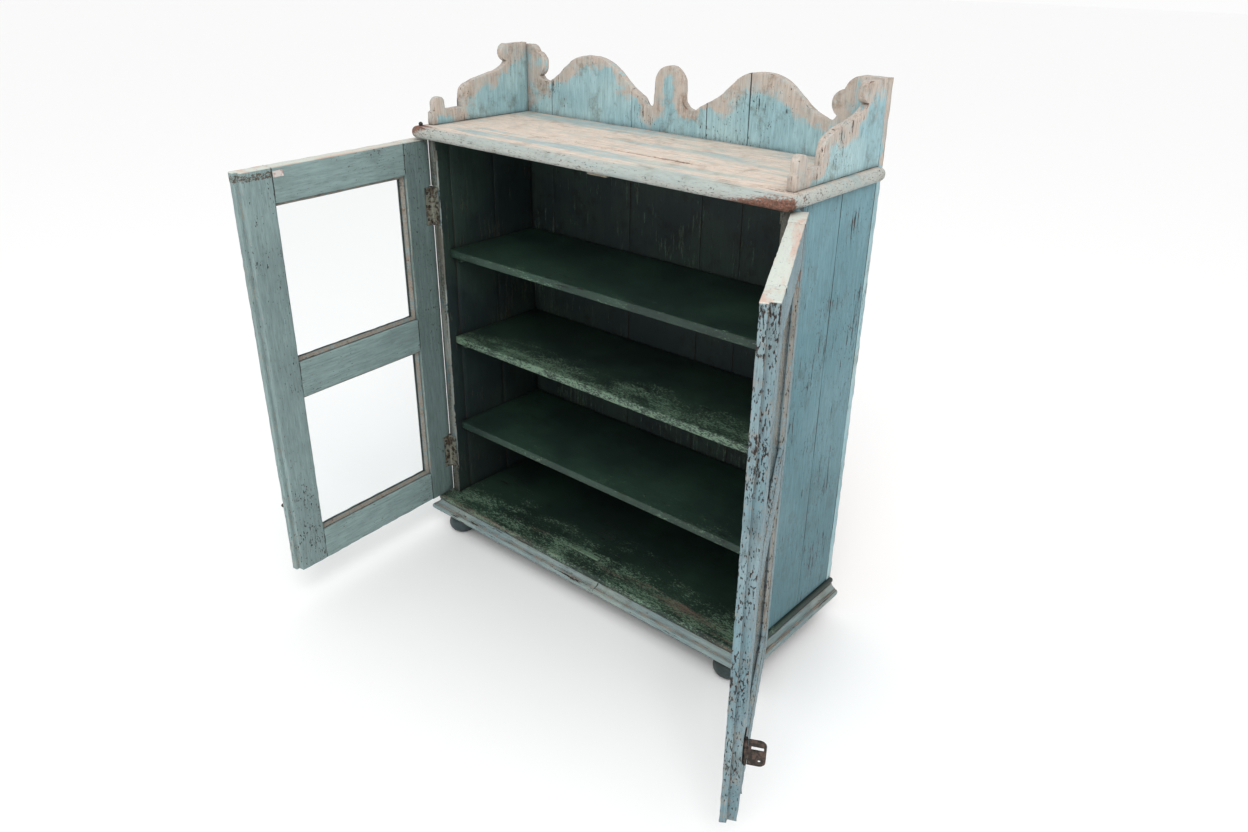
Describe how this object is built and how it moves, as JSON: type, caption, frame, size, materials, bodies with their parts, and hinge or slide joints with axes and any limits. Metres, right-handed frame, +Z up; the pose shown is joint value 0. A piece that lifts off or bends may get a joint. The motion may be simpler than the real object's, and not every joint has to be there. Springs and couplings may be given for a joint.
{
  "type": "china cabinet",
  "caption": "Painted wooden china cabinet with a pair of glazed hinged doors, open shelves inside, a scrolled gallery on top and turned bun feet.",
  "frame": {"origin": "on the floor, in the middle of the cabinet's width, under the front faces of the two corner posts", "axes": "+X to the right seen from the front, +Y to the back, +Z up"},
  "size_m": [1.3117, 0.8454, 1.2533],
  "materials": {
    "carcass_paint": "old pale blue oil paint, brushed, worn at the edges; dark green inside",
    "gallery_paint": "old pale blue paint with pinkish worn edges",
    "top_paint": "cream and pink-beige paint, scuffed, pale blue patches",
    "plinth_paint": "pale blue paint over pink, worn mouldings",
    "foot_paint": "nearly black green paint",
    "shelf_paint": "dull green paint, speckled and worn to brown at the front edges",
    "left_door_paint": "grey-teal paint with worn bare patches",
    "right_door_paint": "pale blue paint with black flaked speckles",
    "bare_wood": "bare darkened softwood",
    "window_glass": "old drawn sheet glass, slightly uneven",
    "rusty_iron": "rusted wrought iron with paint remains",
    "dark_steel": "darkened, dull"
  },
  "bodies": {
    "cabinet": {"back_board_1": "carcass_paint", "back_board_2": "carcass_paint", "back_board_3": "carcass_paint", "back_board_4": "carcass_paint", "back_board_5": "carcass_paint", "bottom_board": "shelf_paint", "corner_nail": "dark_steel", "door_stop_lower": "shelf_paint", "door_stop_upper": "shelf_paint", "foot_blocks": "bare_wood", "foot_front_left": "foot_paint", "foot_front_right": "foot_paint", "foot_rear_left": "foot_paint", "foot_rear_right": "foot_paint", "gallery_bracket_left": "gallery_paint", "gallery_bracket_right": "gallery_paint", "left_hinge_pins": "dark_steel", "left_post_hinge_leaves": "rusty_iron", "plinth_front_left": "plinth_paint", "plinth_front_right": "plinth_paint", "plinth_rear_rail": "bare_wood", "plinth_side_left": "plinth_paint", "plinth_side_right": "plinth_paint", "post_hinge_screws": "dark_steel", "post_left": "carcass_paint", "post_right": "carcass_paint", "right_hinge_pins": "dark_steel", "right_post_hinge_leaves": "rusty_iron", "shelf_cleats": "shelf_paint", "shelf_lower": "shelf_paint", "shelf_middle": "shelf_paint", "shelf_upper": "shelf_paint", "side_left_front_board": "carcass_paint", "side_left_rear_board": "carcass_paint", "side_right_front_board": "carcass_paint", "side_right_rear_board": "carcass_paint", "top_board": "top_paint"},
    "left_door": {"left_bottom_rail": "left_door_paint", "left_door_screws": "dark_steel", "left_glass_panes": "window_glass", "left_glazing_beads": "left_door_paint", "left_hinge_leaves": "rusty_iron", "left_hinge_stile": "left_door_paint", "left_meeting_stile": "left_door_paint", "left_middle_rail": "left_door_paint", "left_staple": "rusty_iron", "left_top_rail": "left_door_paint"},
    "right_door": {"right_bottom_rail": "right_door_paint", "right_door_screws": "dark_steel", "right_glass_panes": "window_glass", "right_glazing_beads": "right_door_paint", "right_hasp_base": "rusty_iron", "right_hasp_pin": "dark_steel", "right_hinge_leaves": "rusty_iron", "right_hinge_stile": "right_door_paint", "right_meeting_stile": "right_door_paint", "right_middle_rail": "right_door_paint", "right_top_rail": "right_door_paint"},
    "hasp": {"hasp_strap": "rusty_iron"}
  },
  "joints": [
    {"name": "left_door_hinge", "type": "hinge", "parent": "cabinet", "child": "left_door", "pos_m": [-0.5, -0.0005, 0.58], "axis": [0, 0, -1], "range_deg": [-86, 89]},
    {"name": "right_door_hinge", "type": "hinge", "parent": "cabinet", "child": "right_door", "pos_m": [0.5, -0.0005, 0.58], "axis": [0, 0, 1], "range_deg": [-117, 58]},
    {"name": "hasp_hinge", "type": "hinge", "parent": "right_door", "child": "hasp", "pos_m": [0.74956, -0.4143, 0.262], "axis": [0, 0, 1], "range_deg": [-90, 85]}
  ]
}
